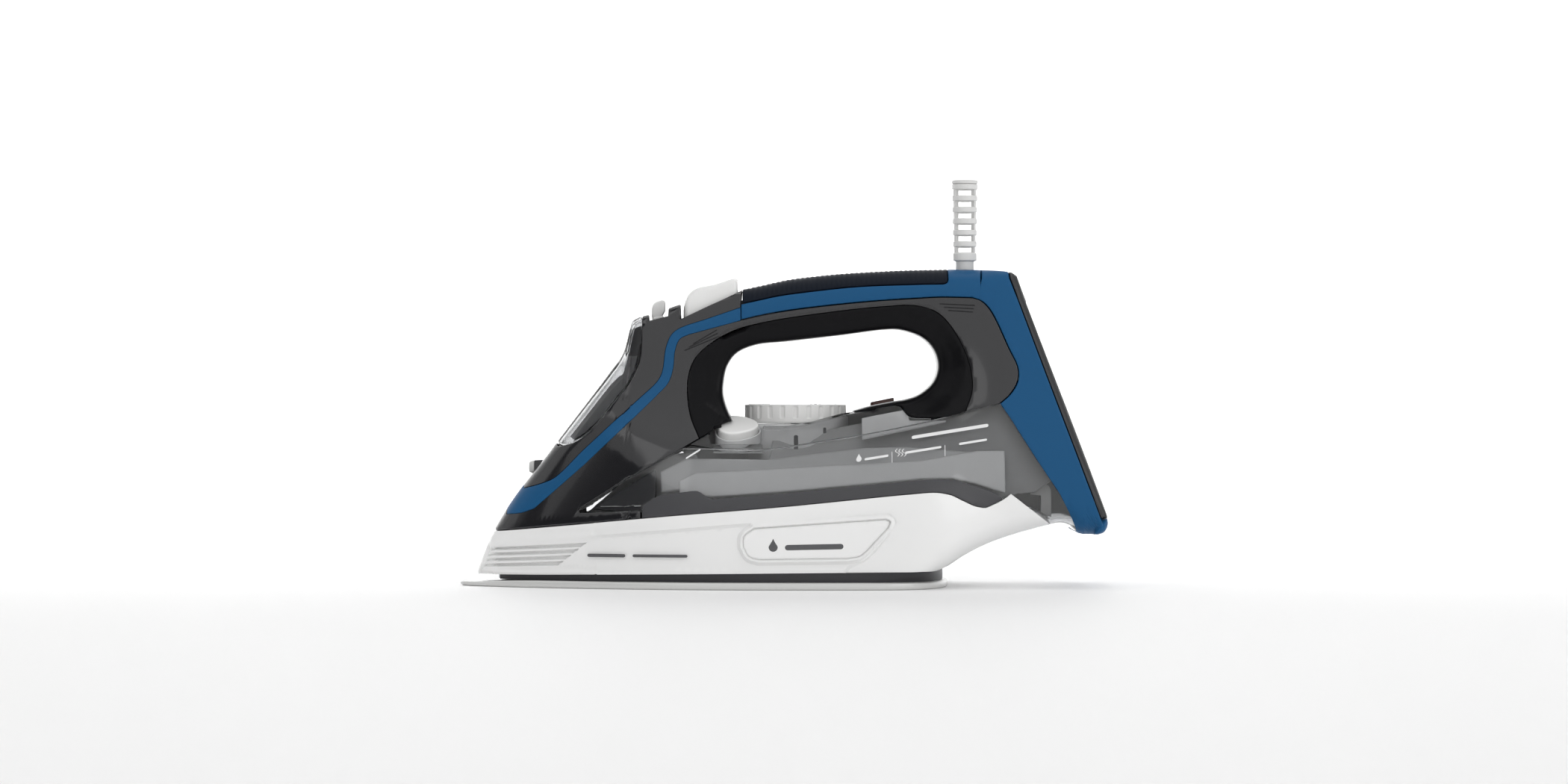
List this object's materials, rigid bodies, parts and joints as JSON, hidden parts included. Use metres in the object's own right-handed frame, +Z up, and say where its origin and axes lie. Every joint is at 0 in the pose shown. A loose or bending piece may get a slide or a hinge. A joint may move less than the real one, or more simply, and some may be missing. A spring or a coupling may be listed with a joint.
{
  "type": "steam iron",
  "caption": "Steam iron with a pointed soleplate, clear water tank, closed handle, round temperature dial, thumb buttons, filler door and ribbed cord sleeve.",
  "frame": {"origin": "centre of the bounding box in plan, on the plane the soleplate stands on", "axes": "+X towards the heel, -X towards the nose, +Z up, +Y to the right-hand side seen from the heel"},
  "size_m": [0.3148, 0.116, 0.198],
  "materials": {
    "sole": "satin ceramic coat",
    "cast_aluminium": "as cast",
    "steel": "plain",
    "brass": "plain",
    "black_gloss": "gloss",
    "blue_plastic": "satin",
    "white_plastic": "gloss",
    "badge": "gloss",
    "button_plastic": "gloss",
    "dial_plastic": "satin",
    "pale_plastic": "matte",
    "dark_plastic": "satin",
    "grip_rubber": "ribbed soft touch",
    "boot_rubber": "matte",
    "smoked_clear": "clear smoked",
    "frosted_clear": "frosted",
    "lens": "gloss"
  },
  "bodies": {
    "casing": {"sole_face": "sole", "sole_collar": "dark_plastic", "heater_casting": "cast_aluminium", "heating_element": "steel", "steam_chamber_cover": "cast_aluminium", "thermostat": "brass", "thermal_fuse": "pale_plastic", "skirt": "white_plastic", "badge_plate_left": "badge", "badge_plate_right": "badge", "tank_base": "dark_plastic", "tank_window": "smoked_clear", "tank_cover": "smoked_clear", "water_tank": "frosted_clear", "dial_column": "frosted_clear", "housing": "black_gloss", "front_trim": "blue_plastic", "handle_cover": "blue_plastic", "grip_insert": "grip_rubber", "heel_cover": "blue_plastic", "heel_plate": "dark_plastic", "heel_screw_upper": "steel", "heel_screw_lower": "steel", "heel_bracket": "pale_plastic", "fill_door_pin": "steel", "filler_neck": "frosted_clear", "nozzle_holder": "black_gloss", "spray_nozzle": "white_plastic", "drip_valve": "grip_rubber", "spray_pump": "pale_plastic", "steam_pump": "pale_plastic", "spray_spring": "steel", "steam_spring": "steel", "self_clean_bezel": "frosted_clear", "indicator_lens": "lens", "cord_clamp": "pale_plastic", "terminal_block": "pale_plastic", "spray_hose": "grip_rubber"},
    "dial": {"temperature_dial": "dial_plastic", "dial_spindle": "steel"},
    "lever": {"steam_lever": "pale_plastic"},
    "needle": {"steam_needle": "steel"},
    "spray": {"spray_button": "button_plastic"},
    "steam": {"steam_button": "button_plastic"},
    "self_clean": {"self_clean_button": "button_plastic"},
    "door": {"fill_door": "smoked_clear"},
    "swivel": {"cord_swivel": "pale_plastic"},
    "boot": {"cord_boot": "boot_rubber"}
  },
  "joints": [
    {"name": "dial_turn", "type": "hinge", "parent": "casing", "child": "dial", "pos_m": [0.0062, 0, 0.084], "axis": [0, 0, 1], "range_deg": [0, 270]},
    {"name": "steam_lever_turn", "type": "hinge", "parent": "casing", "child": "lever", "pos_m": [-0.047, 0, 0.1177], "axis": [0, 0, 1], "range_deg": [-20, 20]},
    {"name": "needle_lift", "type": "slide", "parent": "casing", "child": "needle", "axis": [0, 0, 1], "range_m": [-0.00145, 0.00145]},
    {"name": "spray_press", "type": "slide", "parent": "casing", "child": "spray", "axis": [0, 0, -1], "range_m": [0, 0.004], "stiffness_N_per_m": 400, "springref_m": -0.001, "deforming": ["spray_spring"]},
    {"name": "steam_press", "type": "slide", "parent": "casing", "child": "steam", "axis": [0, 0, -1], "range_m": [0, 0.004], "stiffness_N_per_m": 400, "springref_m": -0.001, "deforming": ["steam_spring"]},
    {"name": "self_clean_press", "type": "slide", "parent": "casing", "child": "self_clean", "axis": [0, 0.5, -0.866], "range_m": [0, 0.003], "stiffness_N_per_m": 400, "springref_m": -0.001},
    {"name": "fill_door_open", "type": "hinge", "parent": "casing", "child": "door", "pos_m": [-0.1081, 0, 0.0701], "axis": [0, -1, 0], "range_deg": [0, 75]},
    {"name": "cord_swivel_turn", "type": "hinge", "parent": "casing", "child": "swivel", "pos_m": [0.089, 0, 0.1468], "axis": [0, 0, 1], "continuous": true},
    {"name": "cord_boot_tilt", "type": "hinge", "parent": "swivel", "child": "boot", "pos_m": [0.089, 0, 0.1468], "axis": [0, 1, 0], "range_deg": [-22, 22]}
  ],
  "couplings": [
    {"joint": "steam_lever_turn", "follows": "needle_lift", "rad_per_m": 238}
  ]
}
